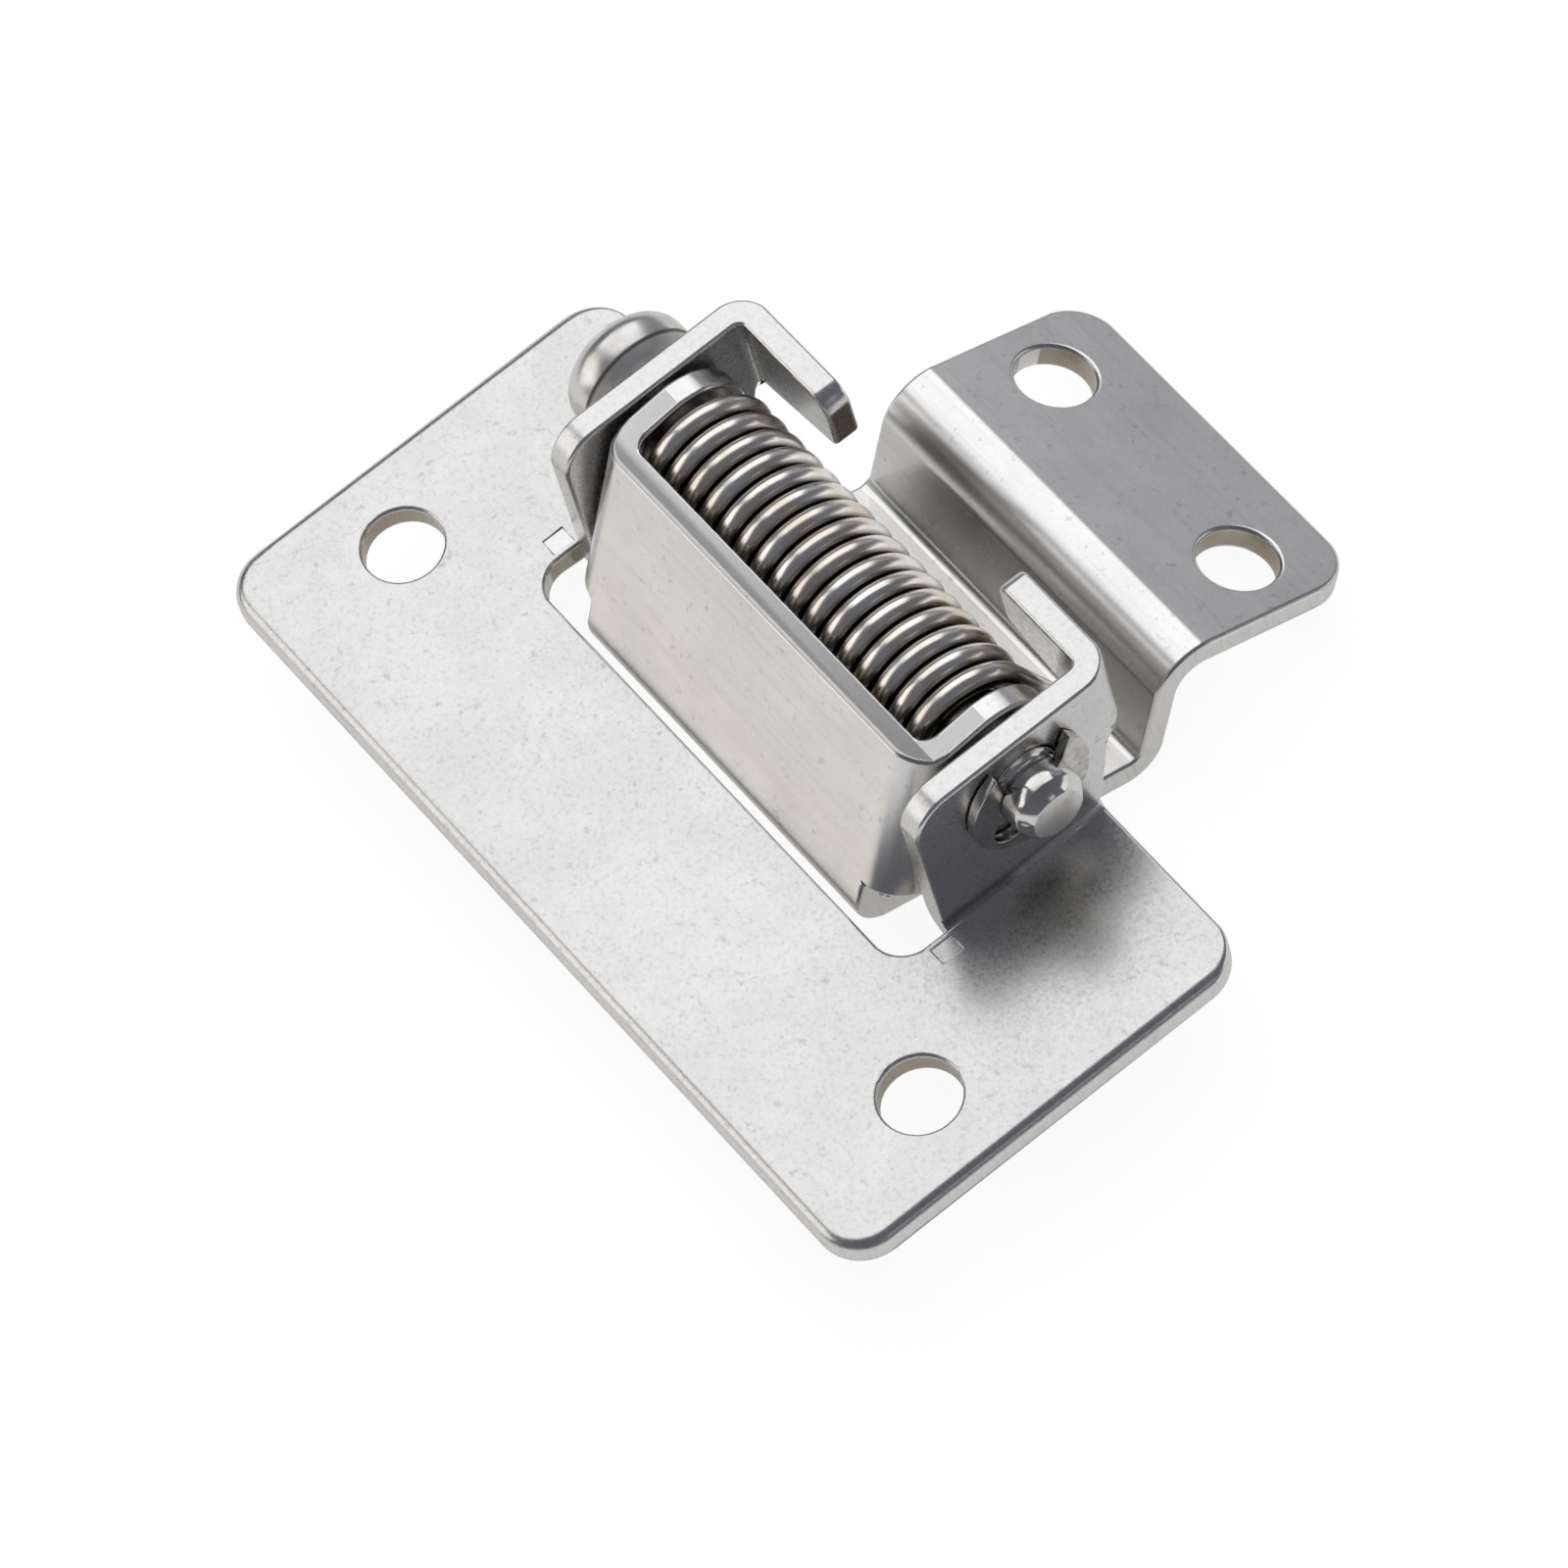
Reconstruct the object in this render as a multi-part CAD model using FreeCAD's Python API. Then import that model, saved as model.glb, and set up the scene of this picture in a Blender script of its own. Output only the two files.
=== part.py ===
import FreeCAD, Part
import math
import os

# Spring loaded door hinge, folded from sheet steel. Millimetres and degrees.
# X runs along the hinge pin, Y from the base leaf towards the door leaf, and Z out of the base
# leaf's face. The origin lies midway between the base leaf's two fixing holes, on its underside.
# It is drawn closed: the spring holds the door leaf down past level, against the base's notch.

# Sheet and its folds
sheet = 1.75
fold_inside_radius = 0.5

# Base leaf: the plate
base_length = 62.0
base_front = 9.8
base_rear = 19.6
base_corner_radius = 3.0
base_hole_spacing = 50.0
base_hole_radius = 2.5

# Base leaf: the notch that the door leaf dips through
notch_half_width = 17.7
notch_front = 4.15
notch_corner_radius = 2.1

# Base leaf: the two ears and the tongues folded inwards behind them
ear_outer_face = 17.5
ear_front = 7.75
ear_height = 14.05
ear_front_corner_radius = 2.7
tongue_outer_face = 22.95
near_tongue_tip = 8.45
near_tongue_tip_bottom = 10.0
near_tongue_top_radius = 1.0
far_tongue_tip = 7.65
far_tongue_tip_bottom = 9.4
far_tongue_top_radius = 1.5
tongue_root = 15.5
tongue_root_bottom = 7.7
tongue_corner_radius = 0.7

# Base leaf: the line pressed into the plate beside each ear by the folding tool
press_line_start = 18.1
press_line_width = 1.2
press_line_depth = 0.12
press_line_front = 6.3

# Hinge pin: its axis and its turned sizes
axis_y = 15.3
axis_z = 10.1
pin_radius = 2.35
pin_end = 20.7
pin_chamfer_length = 0.85
pin_chamfer_depth = 0.6
head_radius = 4.1
head_seat_radius = 3.3
head_cone_height = 1.2
head_land_height = 1.2
head_crown_height = 2.5
head_shoulder_radius = 1.6
groove_depth = 0.35

# Clearances
pin_fit = 0.05
running_clearance = 0.08
seat_gap = 0.05
cheek_side_gap = 0.35
coil_end_gap = 0.32

# Door leaf, in its own axes round the pin: across runs out to the door, rise away from the web
leaf_angle = -22.8
leaf_half_width = 13.1
wall_inner_face = -4.75
wall_top = 1.75
web_front_top = -12.05
web_rear_top = -10.5
riser_inner_face = 14.6
door_plate_top = -2.2
door_plate_edge = 29.7
door_plate_corner_radius = 3.0
web_fold_inside_radius = 0.8
door_fold_inside_radius = 1.75
door_hole_spacing = 17.3
door_hole_radius = 2.5
door_hole_from_edge = 5.8

# Door leaf: the cheeks folded back from the wall to carry the pin
cheek_fold_inside_radius = 0.9
cheek_eye_radius = 4.0
cheek_bottom = -9.7
cheek_heel = -3.6
cheek_heel_radius = 1.5
cheek_shoulder = -4.95

# Torsion spring
wire_diameter = 1.55
coil_mean_radius = 3.6
whole_turns = 15
leg_easing_radius = 5.0
wall_leg_length = 9.5
hook_leg_angle = 23.0
hook_bend_radius = 1.5
hook_end = 8.5

# Retaining ring, clipped into the pin's groove
ring_thickness = 0.7
ring_radius = 4.2
ring_offset = 0.6
ring_closed_side_angle = 258.0
ring_scallop_angle = 31.0
ring_scallop_radius = 1.2
ring_scallop_distance = 2.9
ring_mouth_half_width = 1.75
ring_mouth_flare = 18.0

# Sizes that follow from those above
ear_inner_face = ear_outer_face - sheet
tongue_inner_face = tongue_outer_face - sheet
fold_line = ear_outer_face + fold_inside_radius
cheek_outer_face = ear_inner_face - cheek_side_gap
cheek_inner_face = cheek_outer_face - sheet
groove_start = ear_outer_face + seat_gap
groove_end = groove_start + ring_thickness + 2 * seat_gap
groove_radius = pin_radius - groove_depth
wire_radius = wire_diameter / 2
coil_end = cheek_inner_face - coil_end_gap - wire_radius
wall_leg_angle = 180 + leaf_angle
coil_turns = whole_turns + (wall_leg_angle - hook_leg_angle) / 360
coil_pitch = 2 * coil_end / coil_turns
beyond = 60.0


def on_side(x):
    """Place a section's (Y, Z) point on the plane at x."""
    return lambda a, b: FreeCAD.Vector(x, a, b)


def on_front(y):
    """Place a section's (X, Z) point on the plane at y."""
    return lambda a, b: FreeCAD.Vector(a, y, b)


def on_plan(z):
    """Place a section's (X, Y) point on the plane at z."""
    return lambda a, b: FreeCAD.Vector(a, b, z)


def rounded_face(corners, place):
    """A face from corners (a, b, radius), each rounded by its radius, put in space by place."""
    starts = []
    ends = []
    middles = []
    count = len(corners)
    for i, (a, b, radius) in enumerate(corners):
        here = FreeCAD.Vector(a, b, 0)
        before = FreeCAD.Vector(*corners[i - 1][:2], 0) - here
        after = FreeCAD.Vector(*corners[(i + 1) % count][:2], 0) - here
        half_angle = before.getAngle(after) / 2
        before.normalize()
        after.normalize()
        reach = radius / math.tan(half_angle)
        bisector = (before + after).normalize() if radius else FreeCAD.Vector()
        starts.append(here + before * reach)
        ends.append(here + after * reach)
        middles.append(here + bisector * (radius / math.sin(half_angle) - radius))
    edges = []
    for i, (a, b, radius) in enumerate(corners):
        if radius:
            arc_points = [place(p.x, p.y) for p in (starts[i], middles[i], ends[i])]
            edges.append(Part.Arc(*arc_points).toShape())
        following = starts[(i + 1) % count]
        if (following - ends[i]).Length > 1e-6:
            line = Part.LineSegment(place(ends[i].x, ends[i].y), place(following.x, following.y))
            edges.append(line.toShape())
    return Part.Face(Part.Wire(edges))


def folded_section(path, inside_radii):
    """Corners of a folded sheet's section: path is one face, and the sheet lies on its right."""
    points = [FreeCAD.Vector(a, b, 0) for a, b in path]
    directions = [(q - p).normalize() for p, q in zip(points, points[1:])]
    rights = [FreeCAD.Vector(d.y, -d.x, 0) for d in directions]
    near = [(points[0].x, points[0].y, 0)]
    first = points[0] + rights[0] * sheet
    far = [(first.x, first.y, 0)]
    for i, inside_radius in enumerate(inside_radii):
        corner = points[i + 1]
        step = (rights[i] + rights[i + 1]) * (sheet / (1 + rights[i].dot(rights[i + 1])))
        outer = corner + step
        turns_left = directions[i].cross(directions[i + 1]).z > 0
        outside_radius = inside_radius + sheet
        near.append((corner.x, corner.y, inside_radius if turns_left else outside_radius))
        far.append((outer.x, outer.y, outside_radius if turns_left else inside_radius))
    last = points[-1] + rights[-1] * sheet
    near.append((points[-1].x, points[-1].y, 0))
    far.append((last.x, last.y, 0))
    return near + far[::-1]


def mirrored(shape):
    """The shape's mirror image across the hinge's middle plane."""
    return shape.mirror(FreeCAD.Vector(0, 0, 0), FreeCAD.Vector(1, 0, 0))


def bore_along_x(radius, start, end):
    """A cylinder on the pin's axis from x = start to x = end."""
    return Part.makeCylinder(radius, end - start, FreeCAD.Vector(start, axis_y, axis_z),
                             FreeCAD.Vector(1, 0, 0))


def base_plate():
    """The flat of the base leaf, with its notch and fixing holes."""
    half = base_length / 2
    right = [
        (half, -base_front, base_corner_radius),
        (half, base_rear, base_corner_radius),
        (fold_line, base_rear, 0),
        (fold_line, ear_front, 0),
        (notch_half_width, ear_front, 0),
        (notch_half_width, notch_front, notch_corner_radius),
    ]
    left = [(-x, y, radius) for x, y, radius in right[::-1]]
    plate = rounded_face(right + left, on_plan(0)).extrude(FreeCAD.Vector(0, 0, sheet))
    for x in (-base_hole_spacing / 2, base_hole_spacing / 2):
        plate = plate.cut(Part.makeCylinder(base_hole_radius, sheet, FreeCAD.Vector(x, 0, 0)))
    line = Part.makeBox(press_line_width, base_rear - press_line_front, sheet,
                        FreeCAD.Vector(press_line_start, press_line_front, sheet - press_line_depth))
    return plate.cut([line, mirrored(line)])


def ear(tongue_tip, tip_bottom, top_radius):
    """The ear on the +X side: folded up from the plate, then folded inwards as a tongue."""
    upright = rounded_face(
        folded_section(
            [(ear_outer_face, ear_height), (ear_outer_face, sheet), (fold_line + sheet, sheet)],
            [fold_inside_radius]),
        on_front(ear_front)).extrude(FreeCAD.Vector(0, base_rear - ear_front, 0))
    fold_top = sheet + fold_inside_radius
    wrap = rounded_face(
        folded_section(
            [(ear_inner_face, ear_front), (ear_inner_face, tongue_inner_face),
             (tongue_tip, tongue_inner_face)],
            [fold_inside_radius]),
        on_plan(fold_top)).extrude(FreeCAD.Vector(0, 0, ear_height - fold_top))
    side_outline = rounded_face(
        [(ear_front, -beyond, 0), (base_rear, -beyond, 0), (base_rear, sheet, 0),
         (tongue_inner_face, tongue_root_bottom, tongue_corner_radius),
         (beyond, tongue_root_bottom, 0), (beyond, ear_height, 0),
         (ear_front, ear_height, ear_front_corner_radius)],
        on_side(0)).extrude(FreeCAD.Vector(beyond, 0, 0))
    tongue_outline = rounded_face(
        [(tongue_tip, tip_bottom, tongue_corner_radius),
         (tongue_root, tongue_root_bottom, tongue_corner_radius), (tongue_root, -beyond, 0),
         (beyond, -beyond, 0), (beyond, ear_height, 0),
         (tongue_tip, ear_height, top_radius)],
        on_front(0)).extrude(FreeCAD.Vector(0, beyond, 0))
    return upright.fuse(wrap).common(side_outline).common(tongue_outline)


def base_leaf():
    """The base leaf, one folded sheet: plate, ears and tongues, bored for the pin."""
    near_ear = ear(near_tongue_tip, near_tongue_tip_bottom, near_tongue_top_radius)
    far_ear = mirrored(ear(far_tongue_tip, far_tongue_tip_bottom, far_tongue_top_radius))
    leaf = base_plate().fuse([near_ear, far_ear])
    bore = bore_along_x(pin_radius + pin_fit, -beyond, beyond)
    return leaf.cut(bore).removeSplitter()


def tangent_angle(a, b, radius, side):
    """Angle round a circle at the origin where the line from (a, b) touches it."""
    return math.atan2(b, a) + side * math.acos(radius / math.hypot(a, b))


def on_circle(radius, angle):
    """Point at an angle in radians round a circle at the origin."""
    return radius * math.cos(angle), radius * math.sin(angle)


def cheek_outline():
    """Side view of a cheek in the leaf's axes: the wall's edge and the eye, joined by tangents."""
    top = tangent_angle(cheek_shoulder, wall_top, cheek_eye_radius, -1)
    low = tangent_angle(cheek_heel, cheek_bottom, cheek_eye_radius, 1)
    tangent_point = on_circle(cheek_eye_radius, low)
    lower = rounded_face(
        [(-beyond, cheek_bottom, 0), (cheek_heel, cheek_bottom, cheek_heel_radius),
         (*tangent_point, 0), (0, 0, 0), (*on_circle(cheek_eye_radius, top), 0),
         (cheek_shoulder, wall_top, 0), (-beyond, wall_top, 0)],
        on_side(-beyond)).extrude(FreeCAD.Vector(2 * beyond, 0, 0))
    eye = Part.makeCylinder(cheek_eye_radius, 2 * beyond, FreeCAD.Vector(-beyond, 0, 0),
                            FreeCAD.Vector(1, 0, 0))
    return lower.fuse(eye)


def cheeks():
    """The wall's upper part with the cheeks folded back from its two ends."""
    fold_run = cheek_eye_radius + sheet
    plan = rounded_face(
        folded_section(
            [(-cheek_inner_face, fold_run), (-cheek_inner_face, wall_inner_face),
             (cheek_inner_face, wall_inner_face), (cheek_inner_face, fold_run)],
            [cheek_fold_inside_radius, cheek_fold_inside_radius]),
        on_plan(-beyond)).extrude(FreeCAD.Vector(0, 0, 2 * beyond))
    return plan.common(cheek_outline())


def door_strip():
    """Wall below the cheeks, web, riser and door plate in one folded strip, with its two holes."""
    section = folded_section(
        [(wall_inner_face, cheek_bottom), (wall_inner_face, web_front_top),
         (riser_inner_face, web_rear_top), (riser_inner_face, door_plate_top),
         (door_plate_edge, door_plate_top)],
        [web_fold_inside_radius, web_fold_inside_radius, door_fold_inside_radius])
    strip = rounded_face(section, on_side(-leaf_half_width)).extrude(
        FreeCAD.Vector(2 * leaf_half_width, 0, 0))
    plan = rounded_face(
        [(leaf_half_width, -beyond, 0),
         (leaf_half_width, door_plate_edge, door_plate_corner_radius),
         (-leaf_half_width, door_plate_edge, door_plate_corner_radius),
         (-leaf_half_width, -beyond, 0)],
        on_plan(-beyond)).extrude(FreeCAD.Vector(0, 0, 2 * beyond))
    strip = strip.common(plan)
    for x in (-door_hole_spacing / 2, door_hole_spacing / 2):
        centre = FreeCAD.Vector(x, door_plate_edge - door_hole_from_edge, door_plate_top - sheet)
        strip = strip.cut(Part.makeCylinder(door_hole_radius, sheet, centre))
    return strip


def door_leaf():
    """The door leaf, one folded sheet, turned and carried to the pin as it stands closed."""
    leaf = door_strip().fuse(cheeks()).removeSplitter()
    leaf.rotate(FreeCAD.Vector(0, 0, 0), FreeCAD.Vector(1, 0, 0), leaf_angle)
    leaf.translate(FreeCAD.Vector(0, axis_y, axis_z))
    bore = bore_along_x(pin_radius + running_clearance, -beyond, beyond)
    return leaf.cut(bore)


def hinge_pin():
    """The pin, turned in one piece: domed head, shank, ring groove and chamfered end."""
    under_head = -ear_outer_face - seat_gap
    cone_end = under_head - head_cone_height
    land_end = cone_end - head_land_height
    crown = land_end - head_crown_height
    shoulder_at = head_radius - head_shoulder_radius
    crown_radius = ((head_crown_height ** 2 + shoulder_at ** 2 - head_shoulder_radius ** 2)
                    / (2 * (head_crown_height - head_shoulder_radius)))
    crown_centre = FreeCAD.Vector(crown + crown_radius, 0, 0)
    shoulder_centre = FreeCAD.Vector(land_end, shoulder_at, 0)
    meeting = crown_centre + (shoulder_centre - crown_centre).normalize() * crown_radius
    spread = (meeting - crown_centre).getAngle(FreeCAD.Vector(-1, 0, 0)) / 2
    crown_middle = crown_centre + FreeCAD.Vector(-math.cos(spread), math.sin(spread), 0) * crown_radius
    lean = (meeting - shoulder_centre).getAngle(FreeCAD.Vector(0, 1, 0)) / 2
    outwards = FreeCAD.Vector(-math.sin(lean), math.cos(lean), 0)
    shoulder_middle = shoulder_centre + outwards * head_shoulder_radius
    outline = [
        (pin_end, 0), (pin_end, pin_radius - pin_chamfer_depth),
        (pin_end - pin_chamfer_length, pin_radius), (groove_end, pin_radius),
        (groove_end, groove_radius), (groove_start, groove_radius), (groove_start, pin_radius),
        (under_head, pin_radius), (under_head, head_seat_radius), (cone_end, head_radius),
        (land_end, head_radius)]
    points = [FreeCAD.Vector(x, r, 0) for x, r in outline]
    edges = [Part.LineSegment(p, q).toShape() for p, q in zip(points, points[1:])]
    tip = FreeCAD.Vector(crown, 0, 0)
    edges.append(Part.Arc(points[-1], shoulder_middle, meeting).toShape())
    edges.append(Part.Arc(meeting, crown_middle, tip).toShape())
    edges.append(Part.LineSegment(tip, points[0]).toShape())
    pin = Part.Face(Part.Wire(edges)).revolve(FreeCAD.Vector(0, 0, 0), FreeCAD.Vector(1, 0, 0), 360)
    pin.translate(FreeCAD.Vector(0, axis_y, axis_z))
    return pin


def retaining_ring():
    """The snap ring in the pin's groove: a disc with three prongs, two scallops and a mouth."""
    grip = groove_radius + seat_gap
    towards = FreeCAD.Vector(1, 0, 0)
    disc = Part.makeCylinder(ring_radius, ring_thickness, FreeCAD.Vector(0, ring_offset, 0), towards)
    ring = disc.cut(Part.makeCylinder(grip, ring_thickness, FreeCAD.Vector(0, 0, 0), towards))
    for angle in (-ring_scallop_angle, ring_scallop_angle):
        a, b = on_circle(ring_scallop_distance, math.radians(angle))
        centre = FreeCAD.Vector(0, a, b)
        ring = ring.cut(Part.makeCylinder(ring_scallop_radius, ring_thickness, centre, towards))
    flare = math.tan(math.radians(ring_mouth_flare)) * beyond
    mouth = rounded_face(
        [(0, 0, 0), (0, -ring_mouth_half_width, 0), (beyond, -ring_mouth_half_width - flare, 0),
         (beyond, ring_mouth_half_width + flare, 0), (0, ring_mouth_half_width, 0)],
        lambda a, b: FreeCAD.Vector(0, -a, b)).extrude(FreeCAD.Vector(ring_thickness, 0, 0))
    ring = ring.cut(mouth)
    ring.rotate(FreeCAD.Vector(0, 0, 0), towards, ring_closed_side_angle)
    ring.translate(FreeCAD.Vector(groove_start + seat_gap, axis_y, axis_z))
    return ring


def from_axis(x, a, b):
    """The point (a, b) away from the pin's axis in Y and Z, on the plane at x."""
    return FreeCAD.Vector(x, axis_y + a, axis_z + b)


def leg_start(side, angle):
    """Where a leg leaves the coil: an arc that takes out the coil's slope, and the leg's direction."""
    slope = math.atan(coil_pitch / (2 * math.pi * coil_mean_radius))
    turn = math.radians(angle)
    leave = from_axis(side * coil_end, *on_circle(coil_mean_radius, turn))
    heading = FreeCAD.Vector(0, math.sin(turn), -math.cos(turn)) * side
    outwards = FreeCAD.Vector(side, 0, 0)
    points = []
    for lean in (slope, slope / 2, 0):
        aside = outwards * (math.cos(lean) - math.cos(slope))
        ahead = heading * (math.sin(slope) - math.sin(lean))
        points.append(leave + (aside + ahead) * leg_easing_radius)
    return Part.Arc(*points).toShape(), points[-1], heading


def torsion_spring():
    """The spring, one wire: wall leg, left-handed coil round the pin, and hooked leg."""
    wall_easing, wall_leg_top, down = leg_start(-1, wall_leg_angle)
    hook_easing, hook_leg_top, slant = leg_start(1, hook_leg_angle)
    wall_leg = Part.LineSegment(wall_leg_top + down * wall_leg_length, wall_leg_top)
    coil = Part.makeHelix(coil_pitch, 2 * coil_end, coil_mean_radius, 0, True)
    coil.rotate(FreeCAD.Vector(0, 0, 0), FreeCAD.Vector(1, 1, 1), 120)
    coil.rotate(FreeCAD.Vector(0, 0, 0), FreeCAD.Vector(1, 0, 0), wall_leg_angle)
    coil.translate(FreeCAD.Vector(-coil_end, axis_y, axis_z))
    tongue_drop = (tongue_root_bottom - near_tongue_tip_bottom) / (tongue_root - near_tongue_tip)
    tongue_edge = near_tongue_tip_bottom + tongue_drop * (coil_end - near_tongue_tip)
    hook_height = tongue_edge - (wire_radius + seat_gap) * math.hypot(1, tongue_drop)
    bend = hook_leg_top + slant * ((hook_height - hook_leg_top.z) / slant.z)
    half_bend = slant.getAngle(FreeCAD.Vector(0, 1, 0)) / 2
    reach = hook_bend_radius * math.tan(half_bend)
    bend_start = bend - slant * reach
    bend_end = bend + FreeCAD.Vector(0, reach, 0)
    inwards = (FreeCAD.Vector(0, 1, 0) - slant).normalize()
    bend_middle = bend + inwards * (hook_bend_radius / math.cos(half_bend) - hook_bend_radius)
    tip = FreeCAD.Vector(bend.x, axis_y + hook_end, hook_height)
    edges = [wall_leg.toShape(), wall_easing] + coil.Edges + [
        hook_easing,
        Part.LineSegment(hook_leg_top, bend_start).toShape(),
        Part.Arc(bend_start, bend_middle, bend_end).toShape(),
        Part.LineSegment(bend_end, tip).toShape()]
    path = Part.Wire(Part.__sortEdges__(edges))
    section = Part.Wire(Part.makeCircle(wire_radius, wall_leg_top + down * wall_leg_length, down))
    return path.makePipeShell([section], True, False)


os.makedirs("parts", exist_ok=True)
base_leaf().exportStep("parts/base_leaf.step")
door_leaf().exportStep("parts/door_leaf.step")
hinge_pin().exportStep("parts/hinge_pin.step")
retaining_ring().exportStep("parts/retaining_ring.step")
torsion_spring().exportStep("parts/torsion_spring.step")
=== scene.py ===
# %% [markdown]
# # Spring loaded door hinge
# The hinge has five real pieces: a base leaf and a door leaf, both folded from 1.75 mm stainless
# sheet, a turned pin that carries them, a snap ring that keeps the pin, and a torsion spring on it.
# The CAD model is loaded as a fixed frame first. Everything below is in its metres and its place,
# so a piece made here already sits where it belongs. The hinge's own sizes are written in
# millimetres, as on a drawing, and multiplied by mm where Blender needs metres. The CAD file can't
# be read from here, so the sizes that a piece shares with it are repeated beside that piece.

# %% Load the CAD model as the frame
import math

import bmesh
import bpy
from mathutils import Matrix, Vector
from mathutils.bvhtree import BVHTree


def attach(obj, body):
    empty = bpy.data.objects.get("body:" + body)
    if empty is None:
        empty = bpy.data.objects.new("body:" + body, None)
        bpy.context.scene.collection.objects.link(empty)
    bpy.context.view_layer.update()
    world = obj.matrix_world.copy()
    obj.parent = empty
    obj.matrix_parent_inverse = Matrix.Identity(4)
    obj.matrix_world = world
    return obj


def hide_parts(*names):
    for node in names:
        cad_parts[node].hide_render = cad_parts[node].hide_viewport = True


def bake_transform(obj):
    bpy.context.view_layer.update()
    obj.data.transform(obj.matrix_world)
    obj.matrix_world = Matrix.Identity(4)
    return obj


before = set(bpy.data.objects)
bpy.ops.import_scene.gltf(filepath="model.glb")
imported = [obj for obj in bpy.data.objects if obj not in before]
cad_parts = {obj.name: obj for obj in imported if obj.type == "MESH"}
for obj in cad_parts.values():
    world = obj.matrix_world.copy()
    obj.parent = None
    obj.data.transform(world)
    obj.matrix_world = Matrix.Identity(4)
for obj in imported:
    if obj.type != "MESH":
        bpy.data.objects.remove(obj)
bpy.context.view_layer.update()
mm = 0.001
print("CAD pieces:", sorted(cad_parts))

# %% [markdown]
# ## The camera
# The photograph was taken with a long lens from above and to the right. Its place was solved from
# the plate's corners and holes. Moving a camera by eye would never bring all of them together. The
# three axes say which way is right, down and ahead in the photograph. A square picture 1600 pixels
# wide with a focal length of 10743 pixels is a 242 mm lens on a 36 mm sensor.

# %% Camera
focal_length, picture_width, sensor_width = 10743.28, 1600, 36.0
camera_place = Vector((293.753, -106.767, 528.467)) * mm
right = Vector((0.606997, 0.77698, -0.1669))
down = Vector((0.637787, -0.601572, -0.480976))
ahead = Vector((-0.474111, 0.185505, -0.860701))
lens = bpy.data.cameras.new("photo_camera")
lens.sensor_width = sensor_width
lens.lens = sensor_width * focal_length / picture_width
lens.clip_start, lens.clip_end = 0.05, 20.0
camera = bpy.data.objects.new("photo_camera", lens)
turn = Matrix((right, -down, -ahead)).transposed()
camera.matrix_world = Matrix.Translation(camera_place) @ turn.to_4x4()
bpy.context.scene.collection.objects.link(camera)
bpy.context.scene.camera = camera
print("lens:", round(lens.lens, 1), "mm,", round(camera_place.length / mm), "mm from the origin")

# %% [markdown]
# ## Node trees, in short
# Materials and Geometry Nodes trees are both built by adding a node and linking its inputs. Two
# small helpers keep that readable: an input given a socket is linked, and any other is set.

# %% Helpers for node trees
def add_node(tree, kind, inputs=None, **settings):
    """Add a node of a kind, set its settings, and link or set its inputs by name or number."""
    node = tree.nodes.new(kind)
    for name, value in settings.items():
        setattr(node, name, value)
    for name, value in (inputs or {}).items():
        if isinstance(value, bpy.types.NodeSocket):
            tree.links.new(value, node.inputs[name])
        else:
            node.inputs[name].default_value = value
    return node


def do_math(tree, operation, a, b=0.0):
    """One Math node, as a sum or product of two values or sockets."""
    return add_node(tree, "ShaderNodeMath", {0: a, 1: b}, operation=operation).outputs[0]


print("helpers ready")

# %% [markdown]
# ## The floor
# The ground in the photograph is white. White paint alone would turn grey wherever the light is
# weak, so the floor mixes paint with its own glow. Most of what the camera sees is the glow, which
# looks white, and the rest is paint, which keeps the soft shadow. The metal mirrors less of the
# glow.

# %% Floor
def pale_floor(glow_to_camera, glow_to_metal):
    """A pale floor that looks white in the picture and keeps the hinge's shadow."""
    floor_paint = bpy.data.materials.new("pale_floor")
    floor_paint.use_nodes = True
    tree = floor_paint.node_tree
    tree.nodes.clear()
    matt = add_node(tree, "ShaderNodeBsdfDiffuse", {"Color": (0.86, 0.86, 0.86, 1.0)})
    glow = add_node(tree, "ShaderNodeEmission", {"Color": (1.0, 1.0, 1.0, 1.0), "Strength": 1.12})
    seen = add_node(tree, "ShaderNodeLightPath").outputs
    to_metal = do_math(tree, "MULTIPLY", seen["Is Glossy Ray"], glow_to_metal)
    to_camera = do_math(tree, "MULTIPLY", seen["Is Camera Ray"], glow_to_camera)
    mixed = add_node(tree, "ShaderNodeMixShader",
                     {0: do_math(tree, "MAXIMUM", to_metal, to_camera),
                      1: matt.outputs[0], 2: glow.outputs[0]})
    add_node(tree, "ShaderNodeOutputMaterial", {"Surface": mixed.outputs[0]})
    return floor_paint


reach, floor_height = 3.0, -7.2 * mm
floor_mesh = bpy.data.meshes.new("floor")
floor_mesh.from_pydata([(-reach, -reach, floor_height), (reach, -reach, floor_height),
                        (reach, reach, floor_height), (-reach, reach, floor_height)],
                       [], [(0, 1, 2, 3)])
floor = bpy.data.objects.new("floor", floor_mesh)
floor_mesh.materials.append(pale_floor(glow_to_camera=0.8, glow_to_metal=0.3))
bpy.context.scene.collection.objects.link(floor)
print("floor at", floor_height, "m")

# %% [markdown]
# ## The studio
# Bare metal shows what stands round it, so the studio matters as much as the metal. One large soft
# box hangs high on the left for the plate, and one stands low in front of the wall. Three weaker
# ones lift the folds and the door plate. The last one lights the floor from above, and the metal
# doesn't mirror it. The side towards the camera stays dim, which gives the dark patch beside the
# near ear. A picture of a studio could light the hinge too, but single lamps are moved one by one.

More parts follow.
